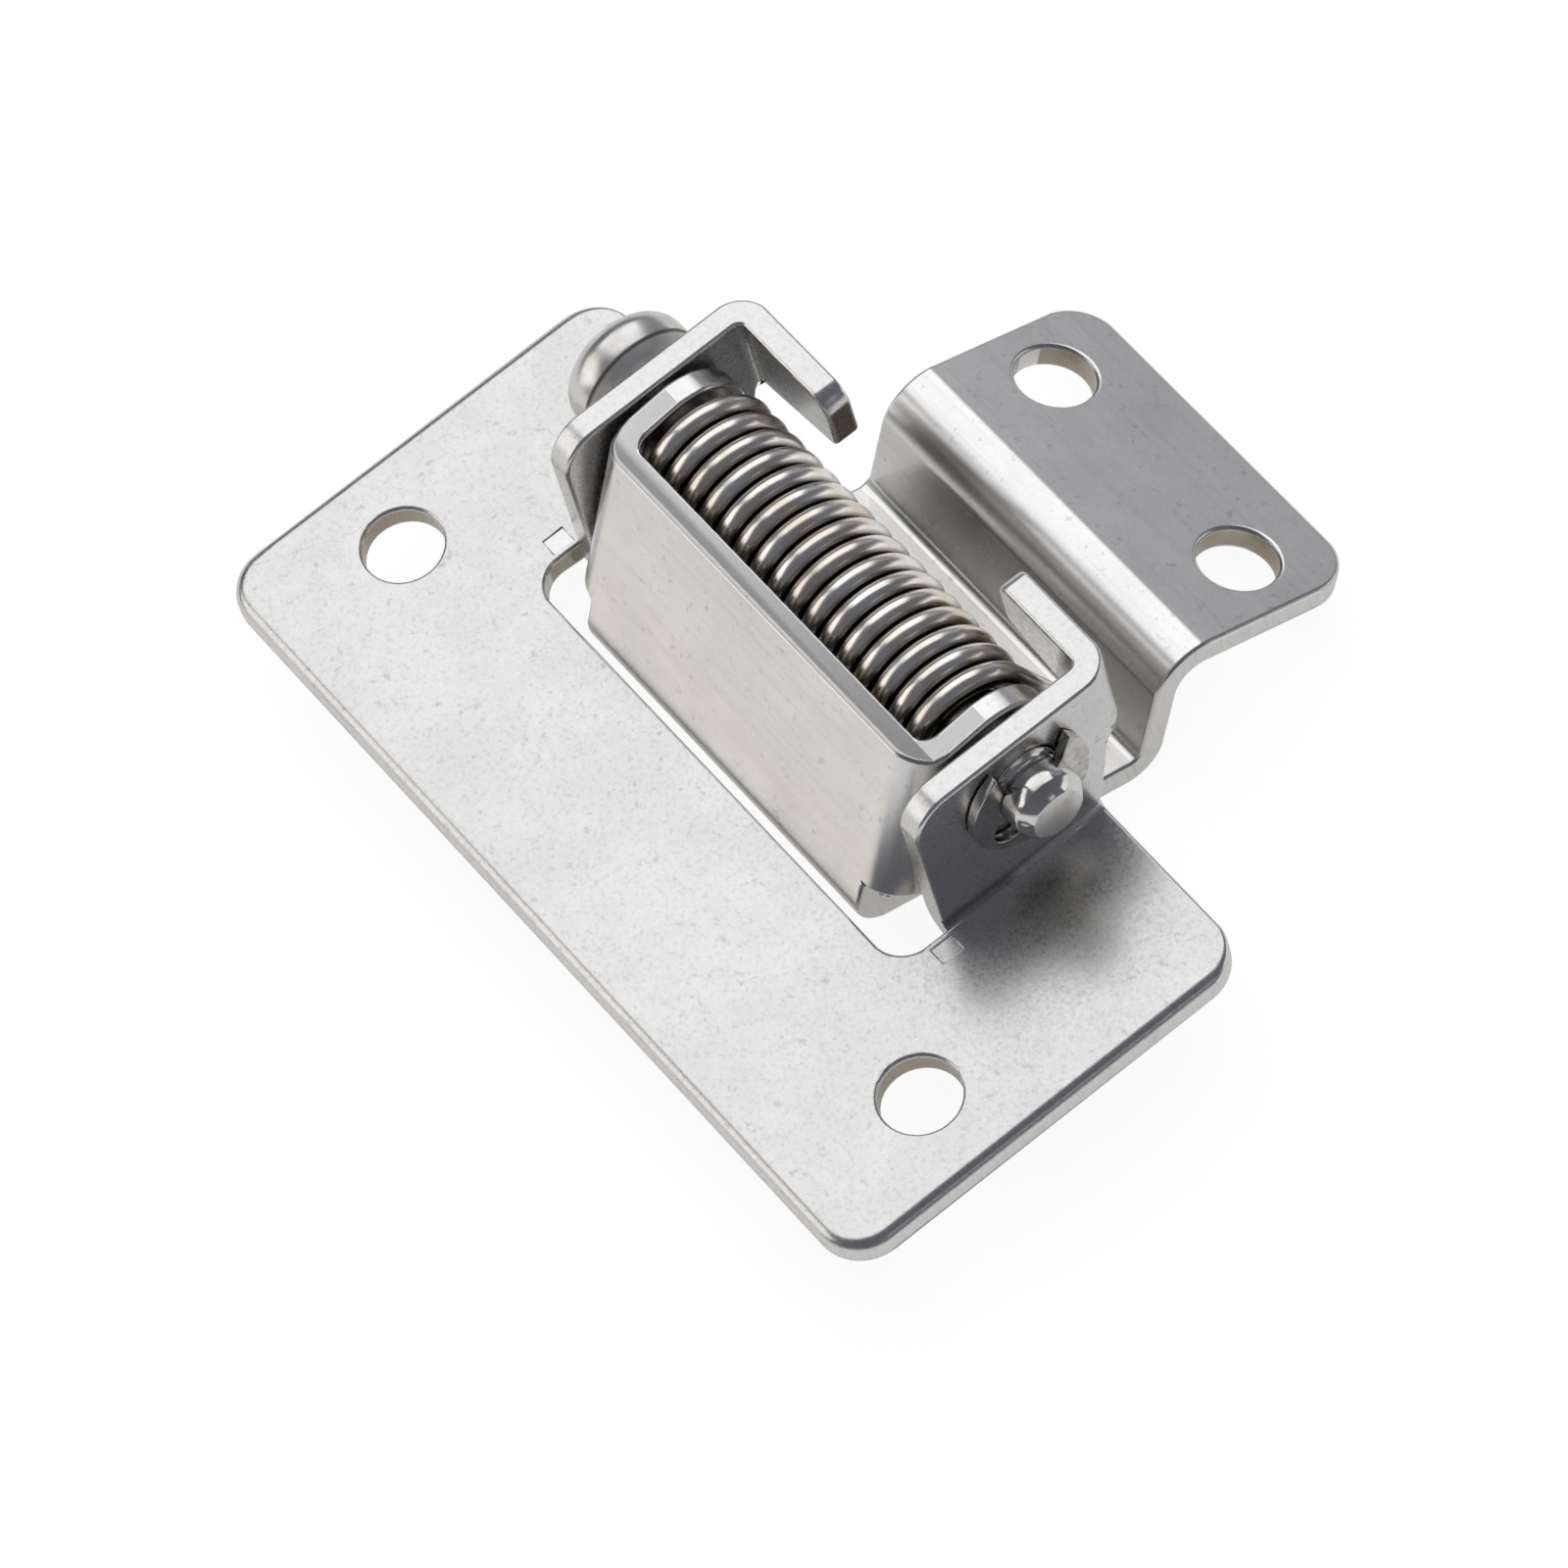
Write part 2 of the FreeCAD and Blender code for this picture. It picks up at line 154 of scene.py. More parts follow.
# %% Soft boxes and the room's own light
def soft_box(name, towards, width, height, power, colour=(1.0, 1.0, 1.0), distance=1.2):
    """An area lamp that looks at the origin from a direction, in metres and watts."""
    lamp = bpy.data.lights.new(name, "AREA")
    lamp.shape, lamp.color = "RECTANGLE", colour
    lamp.size, lamp.size_y, lamp.energy = width, height, power
    box = bpy.data.objects.new(name, lamp)
    away = Vector(towards).normalized()
    wide = (Vector((0, 1, 0)) - away * away.y).normalized()
    axes = Matrix((wide, away.cross(wide), away)).transposed()
    box.matrix_world = Matrix.Translation(away * distance) @ axes.to_4x4()
    bpy.context.scene.collection.objects.link(box)
    return box


soft_box("high_box", (-0.51, 0.235, 0.828), 1.49, 1.1, 5.4)
soft_box("front_box", (-0.52, -0.74, 0.44), 1.0, 0.8, 2.75, colour=(1.0, 0.965, 0.915))
soft_box("back_box", (-0.46, 0.76, 0.40), 0.9, 0.6, 0.28)
soft_box("low_back_box", (0.40, 0.90, 0.12), 0.9, 0.35, 0.8)
soft_box("right_box", (0.86, 0.19, 0.44), 0.3, 0.2, 0.08)
floor_box = soft_box("floor_box", (0.25, 0.10, 0.95), 1.2, 1.2, 6.0, distance=1.4)
floor_box.visible_glossy = False
room_colour = (0.125, 0.13, 0.155, 1.0)
world = bpy.data.worlds.new("studio")
bpy.context.scene.world = world
world.use_nodes = True
world.node_tree.nodes["Background"].inputs["Color"].default_value = room_colour
bpy.context.scene.view_settings.view_transform = "Standard"

# %% [markdown]
# ## What the finishes are made of
# Worn and worked metal is uneven in colour, in polish and in height. Each finish below says so with
# the same few means: a noise laid on Object coordinates, a ramp that picks a part of it, a second
# colour laid there, and a bump. An image would have to be drawn to fit each face, and noise fits
# any.

# %% Helpers for finishes
def object_noise(tree, scale, detail=2.0, roughness=0.5, stretch=(1.0, 1.0, 1.0)):
    """Noise on Object coordinates, in the frame's metres: scale is in lumps a metre."""
    where = add_node(tree, "ShaderNodeTexCoord").outputs["Object"]
    placed = add_node(tree, "ShaderNodeMapping", {"Vector": where, "Scale": stretch}).outputs[0]
    return add_node(tree, "ShaderNodeTexNoise",
                    {"Vector": placed, "Scale": scale, "Detail": detail,
                     "Roughness": roughness}).outputs["Fac"]


def ramp(tree, factor, low, high, low_value, high_value):
    """Map a factor from low..high to low_value..high_value, held at both ends."""
    return add_node(tree, "ShaderNodeMapRange",
                    {"Value": factor, "From Min": low, "From Max": high,
                     "To Min": low_value, "To Max": high_value}).outputs["Result"]


def blend_colours(tree, factor, first, second):
    """Mix two colours, or a colour and a socket, by a factor."""
    node = add_node(tree, "ShaderNodeMix", data_type="RGBA")
    for socket, value in ((node.inputs[0], factor), (node.inputs[6], first),
                          (node.inputs[7], second)):
        if isinstance(value, bpy.types.NodeSocket):
            tree.links.new(value, socket)
        else:
            socket.default_value = value
    return node.outputs[2]


def patches(tree, noise, low, high, amount, ground, patch):
    """Lay a second colour over a ground, from nothing at low noise to an amount at high noise."""
    return blend_colours(tree, ramp(tree, noise, low, high, 0.0, amount), ground, patch)


def read_mark(tree, name, output="Fac"):
    """Read a mark that the mesh carries under a name."""
    return add_node(tree, "ShaderNodeAttribute", attribute_name=name).outputs[output]


def bare_metal(name):
    """A new material with a fully metallic shader, and its tree and shader."""
    finish = bpy.data.materials.new(name)
    finish.use_nodes = True
    tree = finish.node_tree
    shader = tree.nodes["Principled BSDF"]
    shader.inputs["Metallic"].default_value = 1.0
    return finish, tree, shader


def add_bump(tree, shader, height, strength, depth):
    """Let a height from a noise tilt the surface, with a strength and a depth in metres."""
    bump = add_node(tree, "ShaderNodeBump",
                    {"Height": height, "Strength": strength, "Distance": depth})
    tree.links.new(bump.outputs[0], shader.inputs["Normal"])


print("finish helpers ready")

# %% [markdown]
# ## Finish of the two leaves: tumbled stainless sheet
# After punching and folding, such parts are tumbled with stones. That leaves a matt silver skin
# with fine speckle and softly rounded edges, and faint lines of the rolling still show on the door
# leaf. The sheared faces are streaked across the sheet. Where they stand upright they are painted
# paler, as a painted reflection of the pale floor, and inside holes they are painted brown, as
# painted shade. One material for each leaf holds both skins, and four marks on the faces tell them
# apart: pressed, sheared, standing and enclosed. Two materials could do it too, but how upright a
# face stands is a matter of degree, and a mark can hold that.

# %% The two skins of a tumbled sheet
def tinted(tone, red, green, blue):
    """A grey of a tone, made a little warmer or cooler."""
    return tone * red, tone * green, tone * blue, 1.0


def rolled_skin(tree, tone, speckle, lined, grain, pits, lines):
    """The colour of the sheet's own faces: clouded, lined, speckled, pitted, and pressed."""
    clouds = object_noise(tree, 260.0, 4.0, 0.6)
    skin = patches(tree, clouds, 0.35, 0.65, 1.0, tinted(tone, 0.955, 0.942, 0.922),
                   tinted(tone, 1.03, 1.015, 0.99))
    skin = patches(tree, lines, 0.48, 0.70, lined, skin, tinted(tone, 0.60, 0.58, 0.54))
    skin = patches(tree, grain, 0.55, 0.72, 0.35 * speckle, skin, tinted(tone, 0.66, 0.63, 0.59))
    skin = patches(tree, pits, 0.62, 0.70, 0.4, skin, tinted(tone, 0.52, 0.50, 0.47))
    return blend_colours(tree, read_mark(tree, "pressed"), skin, tinted(tone, 1.12, 1.12, 1.13))


def sheared_skin(tree, cut_tone):
    """The cut faces' colour: streaked, with a painted floor reflection where upright, painted shade
    in holes.
    """
    upright_painted_floor_light = (0.76, 0.745, 0.715, 1.0)
    painted_hole_shade = (0.44, 0.385, 0.30, 1.0)
    streak_grey = (0.47, 0.44, 0.40, 1.0)
    streaks = object_noise(tree, 3200.0, 3.0, 0.6, (1.0, 1.0, 0.15))
    # Upright cut faces get a paler grey, a painted reflection of the pale floor; cut faces in holes
    # get a brown, a painted shade.
    skin = blend_colours(tree, read_mark(tree, "standing"), tinted(cut_tone, 1.0, 0.99, 0.975),
                         upright_painted_floor_light)
    skin = blend_colours(tree, read_mark(tree, "enclosed"), skin, painted_hole_shade)
    return patches(tree, streaks, 0.50, 0.72, 0.3, skin, streak_grey)


print("skins ready: rolled and sheared")

# %% Tumbled sheet
def tumbled_sheet(name, tone, cut_tone, dullness, speckle, lined):
    """Tumbled sheet of one tone, sheared faces of another, speckled, and lined along the pin."""
    finish, tree, shader = bare_metal(name)
    grain = object_noise(tree, 3600.0, 4.0, 0.6)
    pits = object_noise(tree, 1500.0, 3.0, 0.6)
    dents = object_noise(tree, 900.0, 2.0, 0.5)
    lines = object_noise(tree, 2600.0, 3.0, 0.6, (0.035, 1.0, 1.0))
    skin = rolled_skin(tree, tone, speckle, lined, grain, pits, lines)
    colour = blend_colours(tree, read_mark(tree, "sheared"), skin, sheared_skin(tree, cut_tone))
    tree.links.new(colour, shader.inputs["Base Color"])
    tree.links.new(ramp(tree, grain, 0.3, 0.7, dullness, dullness + 0.12 * speckle),
                   shader.inputs["Roughness"])
    height = do_math(tree, "MULTIPLY", grain, 0.35)
    for noise, amount in ((ramp(tree, pits, 0.60, 0.75, 0.0, 1.0), -0.4), (dents, 0.8),
                          (lines, lined)):
        height = do_math(tree, "ADD", height, do_math(tree, "MULTIPLY", noise, amount))
    add_bump(tree, shader, height, 0.22 * speckle, 0.03 * mm)
    return finish


base_finish = tumbled_sheet("tumbled_base", 0.72, 0.76, 0.22, 1.0, 0.0)
door_finish = tumbled_sheet("tumbled_door", 0.85, 0.52, 0.24, 0.3, 0.16)
print("finishes:", base_finish.name, door_finish.name)

# %% [markdown]
# ## Rounded edges
# The CAD meshes already hold every fold, hole and notch, but their edges are knife sharp, and a
# sharp edge never catches light. The leaf is copied, its loose triangles are merged, and the flat
# faces are joined up. Then one Bevel rounds every outward edge sharper than a fold, each by its own
# weight, and its result is kept as a plain mesh. A Bevel node in the material would only shade the
# edges, and the outline would stay sharp.

# %% Copy a CAD piece and break its edges
weld_distance = 0.001 * mm
flat_angle, sharp_angle = math.radians(5.9), math.radians(35)


def merged_copy(node_name):
    """A CAD node's mesh with its loose triangles merged and its flat faces joined."""
    shape = bmesh.new()
    shape.from_mesh(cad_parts[node_name].data)
    bmesh.ops.remove_doubles(shape, verts=shape.verts, dist=weld_distance)
    bmesh.ops.dissolve_limit(shape, angle_limit=flat_angle, verts=shape.verts, edges=shape.edges)
    return shape


def break_edges(shape, radius, share=lambda edge: 1.0):
    """Round the sharp outward edges, each by its share of a radius, and return the new mesh."""
    weights = shape.edges.layers.float.new("bevel_weight_edge")
    for edge in shape.edges:
        if edge.is_convex and edge.calc_face_angle() > sharp_angle:
            edge[weights] = share(edge)
    sharp_mesh = bpy.data.meshes.new("sharp")
    shape.to_mesh(sharp_mesh)
    shape.free()
    rough = bpy.data.objects.new("rough", sharp_mesh)
    bpy.context.scene.collection.objects.link(rough)
    rounding = rough.modifiers.new("tumbling", "BEVEL")
    rounding.width, rounding.segments, rounding.limit_method = radius * mm, 3, "WEIGHT"
    rounding.use_clamp_overlap = False
    worked = rough.evaluated_get(bpy.context.evaluated_depsgraph_get())
    mesh = bpy.data.meshes.new_from_object(worked)
    bpy.data.objects.remove(rough)
    bpy.data.meshes.remove(sharp_mesh)
    return mesh


print("edges sharper than", round(math.degrees(sharp_angle)), "degrees will be rounded")

# %% Turn a mesh into a piece of the hinge
def as_piece(mesh, name, finish, body, node_name):
    """Turn the finished mesh into a smooth shaded piece that stands for its CAD node."""
    mesh.name = name
    for face in mesh.polygons:
        face.use_smooth = True
    mesh.materials.clear()
    mesh.materials.append(finish)
    piece = bpy.data.objects.new(name, mesh)
    bpy.context.scene.collection.objects.link(piece)
    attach(piece, body)
    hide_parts(node_name)
    print(name, "has", len(mesh.polygons), "faces")
    return piece


def steady_shading(piece, flat_weight=90):
    """Keep the flat faces flat and let only the roundings shade smoothly."""
    steady = piece.modifiers.new("steady_shading", "WEIGHTED_NORMAL")
    steady.weight = flat_weight
    steady.keep_sharp = False


print("a piece rides on a body, and stands for one of", len(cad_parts), "CAD pieces")

# %% [markdown]
# ## Which faces were sheared
# A face of the sheet has one sheet's thickness of metal behind it, and a sheared face has far more.
# So a ray is sent into the metal from each triangle, and what it measures marks the face. A second
# ray is sent outwards: a sheared face that looks at another wall stands in a hole or in the notch.
# The faces could be listed by hand, but a change of the CAD model could make the list wrong.

# %% Marks on the faces
sheet = 1.75
sheared_depth = 1.25 * sheet
facing_wall_within = 60.0
ray_start = 0.01


def mark_sheared(piece):
    """Mark the faces cut through the sheet, how upright each is, and which look at a wall."""
    mesh = piece.data
    mesh.calc_loop_triangles()
    solid = BVHTree.FromPolygons([v.co for v in mesh.vertices],
                                 [t.vertices[:] for t in mesh.loop_triangles])
    thick = [0.0] * len(mesh.polygons)
    walled = [0.0] * len(mesh.polygons)
    for part in mesh.loop_triangles:
        middle = sum((mesh.vertices[v].co for v in part.vertices), Vector()) / 3
        step = part.normal * ray_start * mm
        behind = solid.ray_cast(middle - step, -part.normal)[3]
        if not behind or behind > sheared_depth * mm:
            thick[part.polygon_index] += part.area
        opposite = solid.ray_cast(middle + step, part.normal)[3]
        if opposite and opposite < facing_wall_within * mm:
            walled[part.polygon_index] += part.area
    sheared = mesh.attributes.new("sheared", "FLOAT", "FACE")
    standing = mesh.attributes.new("standing", "FLOAT", "FACE")
    enclosed = mesh.attributes.new("enclosed", "FLOAT", "FACE")
    for face in mesh.polygons:
        sheared.data[face.index].value = float(thick[face.index] > face.area / 2)
        standing.data[face.index].value = 1.0 - abs(face.normal.z)
        enclosed.data[face.index].value = float(walled[face.index] > face.area / 2)
    print(piece.name, "has", sum(d.value > 0 for d in sheared.data), "sheared faces")


print("a face with more than", sheared_depth, "mm of metal behind it is a sheared one")

# %% [markdown]
# ## The base leaf
# The punch rolls the plate's upper edge over as it cuts, so this edge is rounded by 0.8 mm along
# the front and the two ends, and by a quarter of a millimetre elsewhere, as the tumbling does.
# Beside each ear the folding tool has pressed a shallow line into the plate. It is cut in the CAD
# model, and here its edges stay nearly sharp, so that it looks crisp. The edges where the ears
# start are left alone, as they are too close together to be rounded. Each edge is told apart by its
# middle, and only the size of its share changes.

# %% Base leaf
outline_radius, tumbled_share = 0.8, 0.31
base_rear, corner_radius = 19.6, 3.0
base_hole_x, base_hole_radius = 25.0, 2.5
past_hole = base_hole_radius + 0.2
ear_outer_face, ear_front, fold_inside_radius = 17.5, 7.75, 0.5
press_line_start, press_line_end, press_line_front, press_line_depth = 18.1, 19.3, 6.3, 0.12
press_rim_share, press_line_share = 0.14, 0.05
near = 0.05


def middle_of(edge):
    """The middle of an edge in millimetres, x made positive, as the leaf has two like ends."""
    middle = (edge.verts[0].co + edge.verts[1].co) / 2 / mm
    return abs(middle.x), middle.y, middle.z


def base_share(edge):
    """Most on the plate's outline, fading round its rear corners, least where the ears start."""
    x, y, z = middle_of(edge)
    on_line = press_line_start - near < x < press_line_end + near
    if on_line and y > press_line_front - 2 * near and z > sheet - 0.2:
        outer_rim = x > press_line_end - near or y < press_line_front + near
        return press_rim_share if outer_rim else press_line_share
    on_fold = ear_outer_face - near < x < ear_outer_face + fold_inside_radius + 0.2
    in_height = z < near or sheet - 0.25 < z < sheet + fold_inside_radius + near
    if on_fold and ear_front - 0.45 < y < ear_front + 0.25 and in_height:
        return 0.0
    if abs(z - sheet) < 0.01 and (y < -past_hole or x > base_hole_x + past_hole):
        round_corner = min(max((y - base_rear + corner_radius) / corner_radius, 0.0), 1.0)
        return 1.0 - (1.0 - tumbled_share) * round_corner
    return tumbled_share


def mark_pressed(piece):
    """Mark the floors of the two lines pressed beside the ears, which the tool leaves brighter."""
    marks = piece.data.attributes.new("pressed", "FLOAT", "FACE")
    for face in piece.data.polygons:
        on_line = press_line_start - near < abs(face.center.x) / mm < press_line_end + near
        on_floor = abs(face.center.z / mm - sheet + press_line_depth) < 0.02
        marks.data[face.index].value = float(on_line and on_floor)


base_mesh = break_edges(merged_copy("base_leaf"), outline_radius, base_share)
base_leaf = as_piece(base_mesh, "base_leaf_finished", base_finish, "base", "base_leaf")
mark_sheared(base_leaf)
mark_pressed(base_leaf)
steady_shading(base_leaf)

# %% [markdown]
# ## The door leaf
# This leaf is one sheet with five folds: three make its wall, web, riser and door plate, and two
# turn the cheeks back from the wall to carry the pin. It is tumbled evenly all over, so every sharp
# edge takes the same radius and nothing has to be told apart.

# %% Door leaf
door_edge_radius = 0.28
door_mesh = break_edges(merged_copy("door_leaf"), door_edge_radius)
door_leaf = as_piece(door_mesh, "door_leaf_finished", door_finish, "leaf", "door_leaf")
mark_sheared(door_leaf)
steady_shading(door_leaf)

# %% [markdown]
# ## Finish of the pin: turned steel
# The near end of the pin is bright, with fine rings left by the tool, and its flat face is dull
# where the bar was cut off. The forged head is duller too, most of all on the cone under it. A dark
# line is painted at the cone's rim as painted shade. All of this depends only on the place along
# the pin and on the distance from its axis, so both are worked out from Object coordinates.

# %% Turned steel
axis_y, axis_z = 15.3, 10.1
pin_end, seat_gap, head_cone = 20.7, 0.05, 1.2
under_head = -(ear_outer_face + seat_gap)
cone_end = under_head - head_cone
forged_until, turned_from = -17.0, -16.0


def distance_from_axis(tree, place):
    """How far a point lies from the pin's axis, from the sockets of its place."""
    up = do_math(tree, "SUBTRACT", place[2], axis_z * mm)
    across = do_math(tree, "SUBTRACT", place[1], axis_y * mm)
    return do_math(tree, "SQRT", do_math(tree, "ADD", do_math(tree, "MULTIPLY", up, up),
                                         do_math(tree, "MULTIPLY", across, across)))


def pin_dullness(tree, x, marks):
    """How rough the pin is: polished, duller on the head and its cone, dullest on the cut end."""
    polish = ramp(tree, marks, 0.3, 0.7, 0.10, 0.20)
    head = ramp(tree, x, forged_until * mm, turned_from * mm, 0.14, 0.0)
    on_cone = ramp(tree, x, (cone_end - 0.15) * mm, (cone_end + 0.05) * mm, 0.0, 2.0)
    end = ramp(tree, x, (pin_end - 0.06) * mm, (pin_end - 0.02) * mm, 0.0, 0.35)
    dull = do_math(tree, "ADD", do_math(tree, "ADD", head,
                                        do_math(tree, "MULTIPLY", head, on_cone)), end)
    return do_math(tree, "ADD", polish, dull)


def turned_steel(name):
    """Bright turned steel with fine tool rings round the pin's axis, and painted shade at the
    cone's rim.
    """
    bright, stained = (0.76, 0.75, 0.73, 1.0), (0.62, 0.60, 0.55, 1.0)
    painted_rim_shade = (0.12, 0.095, 0.06, 1.0)
    finish, tree, shader = bare_metal(name)
    where = add_node(tree, "ShaderNodeTexCoord").outputs["Object"]
    place = add_node(tree, "ShaderNodeSeparateXYZ", {0: where}).outputs
    along = do_math(tree, "ADD", place[0], distance_from_axis(tree, place))
    rings = add_node(tree, "ShaderNodeTexNoise",
                     {"W": along, "Scale": 9000.0, "Detail": 2.0}, noise_dimensions="1D")
    marks = object_noise(tree, 700.0, 3.0)
    colour = patches(tree, marks, 0.4, 0.7, 1.0, bright, stained)
    # A dark line painted at the cone's rim, a painted shade, darkest right at the rim.
    rim = do_math(tree, "ABSOLUTE", do_math(tree, "SUBTRACT", place[0], cone_end * mm))
    colour = blend_colours(tree, ramp(tree, rim, 0.05 * mm, 0.16 * mm, 0.85, 0.0), colour, painted_rim_shade)
    tree.links.new(colour, shader.inputs["Base Color"])
    tree.links.new(pin_dullness(tree, place[0], marks), shader.inputs["Roughness"])
    add_bump(tree, shader, rings.outputs["Fac"], 0.2, 0.01 * mm)
    return finish


pin_finish = turned_steel("turned_steel")
print("finish:", pin_finish.name)

# %% [markdown]
# ## The pin
# A pin is turned in a lathe: its outline is cut once and the bar spins. The mesh is made the same
# way, by spinning an outline of radius against length about the axis. A cylinder cut by hand would
# need a step for every groove and chamfer. Each outward corner of the outline is cut by a small
# soft step, since no turned edge is quite sharp.

# %% Outline of the pin
pin_radius, groove_depth, ring_thickness = 2.35, 0.35, 0.7
chamfer_length, chamfer_depth = 0.85, 0.6
head_radius, head_seat_radius, head_land, head_crown, head_shoulder = 4.1, 3.3, 1.2, 2.5, 1.6


def arc_points(centre, radius, first, last, count):
    """Points (x, radius) along an arc in the outline's plane, angles in degrees."""
    turns = [math.radians(first + (last - first) * k / count) for k in range(count + 1)]
    return [(centre[0] + radius * math.cos(t), centre[1] + radius * math.sin(t)) for t in turns]


def head_outline(soft, crown_steps=10, shoulder_steps=8):
    """The domed head, its land and the cone under it, down to the shank."""
    land_end = cone_end - head_land
    tip = land_end - head_crown
    drop = head_radius - head_shoulder
    dome = (head_crown ** 2 + drop ** 2 - head_shoulder ** 2) / (2 * (head_crown - head_shoulder))
    meet = math.degrees(math.atan2(drop, land_end - (tip + dome)))
    crown = arc_points((tip + dome, 0), dome, 180, meet, crown_steps)
    shoulder = arc_points((land_end, drop), head_shoulder, meet, 90, shoulder_steps)[1:]
    return crown + shoulder + [
        (cone_end - soft, head_radius), (cone_end + soft, head_radius - soft),
        (under_head - soft, head_seat_radius + soft), (under_head, head_seat_radius - soft),
        (under_head, pin_radius + soft), (under_head + soft, pin_radius)]


def end_outline(soft):
    """The groove for the ring, and the chamfered end."""
    groove_start = ear_outer_face + seat_gap
    groove_end = groove_start + ring_thickness + 2 * seat_gap
    groove_radius = pin_radius - groove_depth
    chamfer_start = pin_end - chamfer_length
    drop = soft * chamfer_depth / chamfer_length
    return [(groove_start - soft, pin_radius), (groove_start, pin_radius - soft),
            (groove_start, groove_radius), (groove_end, groove_radius),
            (groove_end, pin_radius - soft), (groove_end + soft, pin_radius),
            (chamfer_start - soft, pin_radius), (chamfer_start + soft, pin_radius - drop),
            (pin_end - soft, pin_radius - chamfer_depth + drop),
            (pin_end, pin_radius - chamfer_depth - soft), (pin_end, 0)]


soft_step = 0.08
pin_outline = head_outline(soft_step) + end_outline(soft_step)
print("the pin's outline has", len(pin_outline), "points")

# %% Pin
def spun_piece(outline, name, steps=96):
    """Spin an outline of (x, radius) about the pin's axis into a closed mesh."""
    shape = bmesh.new()
    line = [shape.verts.new((x * mm, axis_y * mm, (axis_z + r) * mm)) for x, r in outline]
    edges = [shape.edges.new(pair) for pair in zip(line, line[1:])]
    bmesh.ops.spin(shape, geom=line + edges, cent=(0, axis_y * mm, axis_z * mm), axis=(1, 0, 0),
                   angle=math.tau, steps=steps)
    bmesh.ops.remove_doubles(shape, verts=shape.verts, dist=weld_distance)
    bmesh.ops.recalc_face_normals(shape, faces=shape.faces)
    mesh = bpy.data.meshes.new(name)
    shape.to_mesh(mesh)
    shape.free()
    return mesh


pin = as_piece(spun_piece(pin_outline, "pin"), "hinge_pin_turned", pin_finish, "base", "hinge_pin")
steady_shading(pin)

# %% [markdown]
# ## The retaining ring
# The ring snaps into the pin's groove through its open mouth, and two scallops let it spring. It
# is blanked from thin spring steel, so it is flat, darker and glossier than the leaves. Its CAD
# shape is right, so it is merged and its edges are broken a little.

# %% Ring
def spring_steel_strip(name):
    """Hard rolled strip: glossy, slightly dark, with faint scuffs."""
    finish, tree, shader = bare_metal(name)
    scuffs = object_noise(tree, 1300.0, 3.0, 0.6)
    colour = patches(tree, scuffs, 0.4, 0.65, 1.0, (0.62, 0.605, 0.57, 1.0),
                     (0.44, 0.42, 0.385, 1.0))
    tree.links.new(colour, shader.inputs["Base Color"])
    tree.links.new(ramp(tree, scuffs, 0.3, 0.7, 0.14, 0.26), shader.inputs["Roughness"])
    return finish


ring_edge_radius = 0.07
ring_mesh = break_edges(merged_copy("retaining_ring"), ring_edge_radius)
ring = as_piece(ring_mesh, "retaining_ring_blanked", spring_steel_strip("ring_steel"), "base",
                "retaining_ring")
steady_shading(ring)

# %% [markdown]
# ## The torsion spring
# A spring is one wire that follows a rule: a straight leg along the wall, a left-handed helix
# round the pin, and a leg with a hook that rests under a tongue. A Screw modifier would wind the
# coil but not its legs, so Geometry Nodes are used. One tree lays the helix out by its index, adds
# the legs as lines, joins them to one curve, rounds the hook's bend, and sweeps the wire's circle
# along it. Every size is a named input of the tree.

# %% Sizes of the spring
wire_diameter, coil_mean_radius, coil_end = 1.55, 3.6, 12.555
wall_leg_angle, hook_leg_angle, whole_turns = 157.2, 23.0, 15
coil_turns = whole_turns + (wall_leg_angle - hook_leg_angle) / 360
spring_sizes = {
    "Wire diameter": wire_diameter * mm, "Coil radius": coil_mean_radius * mm,
    "Coil half length": coil_end * mm, "Turns": coil_turns,
    "Wall leg angle": math.radians(wall_leg_angle), "Wall leg length": 9.5 * mm,
    "Hook leg angle": math.radians(hook_leg_angle), "Hook leg length": 6.13 * mm,
    "Hook bend radius": 1.5 * mm, "Hook length": 3.0 * mm,
    "Axis Y": axis_y * mm, "Axis Z": axis_z * mm, "Points a turn": 56.0, "Points round": 24.0}
print("coil:", round(coil_turns, 2), "turns, pitch", round(2 * coil_end / coil_turns, 3), "mm")

# %% Helpers for the spring's tree
def named_inputs(tree, sizes):
    """Give a Geometry Nodes tree its named float inputs, and return their identifiers."""
    found = {}
    for name, value in sizes.items():
        socket = tree.interface.new_socket(name, in_out="INPUT", socket_type="NodeSocketFloat")
        socket.default_value = value
        found[name] = socket.identifier
    return found


def point_on_coil(tree, given, x, angle):
    """A point of the coil's middle line, from the sockets of its place along and its angle."""
    y = do_math(tree, "MULTIPLY_ADD", given["Coil radius"], do_math(tree, "COSINE", angle))
    z = do_math(tree, "MULTIPLY_ADD", given["Coil radius"], do_math(tree, "SINE", angle))
    for socket, centre in ((y, given["Axis Y"]), (z, given["Axis Z"])):
        tree.links.new(centre, socket.node.inputs[2])
    return add_node(tree, "ShaderNodeCombineXYZ", {0: x, 1: y, 2: z}).outputs[0]


def leg_direction(tree, angle, turn_sense):
    """The way a leg leaves the coil, square to the radius at its angle: 1 or -1 for its sense."""
    y = do_math(tree, "MULTIPLY", do_math(tree, "SINE", angle), turn_sense)
    z = do_math(tree, "MULTIPLY", do_math(tree, "COSINE", angle), -turn_sense)
    return add_node(tree, "ShaderNodeCombineXYZ", {1: y, 2: z}).outputs[0]


def shifted(tree, point, direction, length):
    """A point moved along a direction by a length, from sockets."""
    step = add_node(tree, "ShaderNodeVectorMath", {0: direction, "Scale": length},
                    operation="SCALE").outputs[0]
    return add_node(tree, "ShaderNodeVectorMath", {0: point, 1: step}, operation="ADD").outputs[0]


def straight(tree, start, end):
    """One straight wire run between two points."""
    return add_node(tree, "GeometryNodeMeshLine",
                    {"Count": 2, "Start Location": start, "Offset": end},
                    mode="END_POINTS", count_mode="TOTAL").outputs[0]


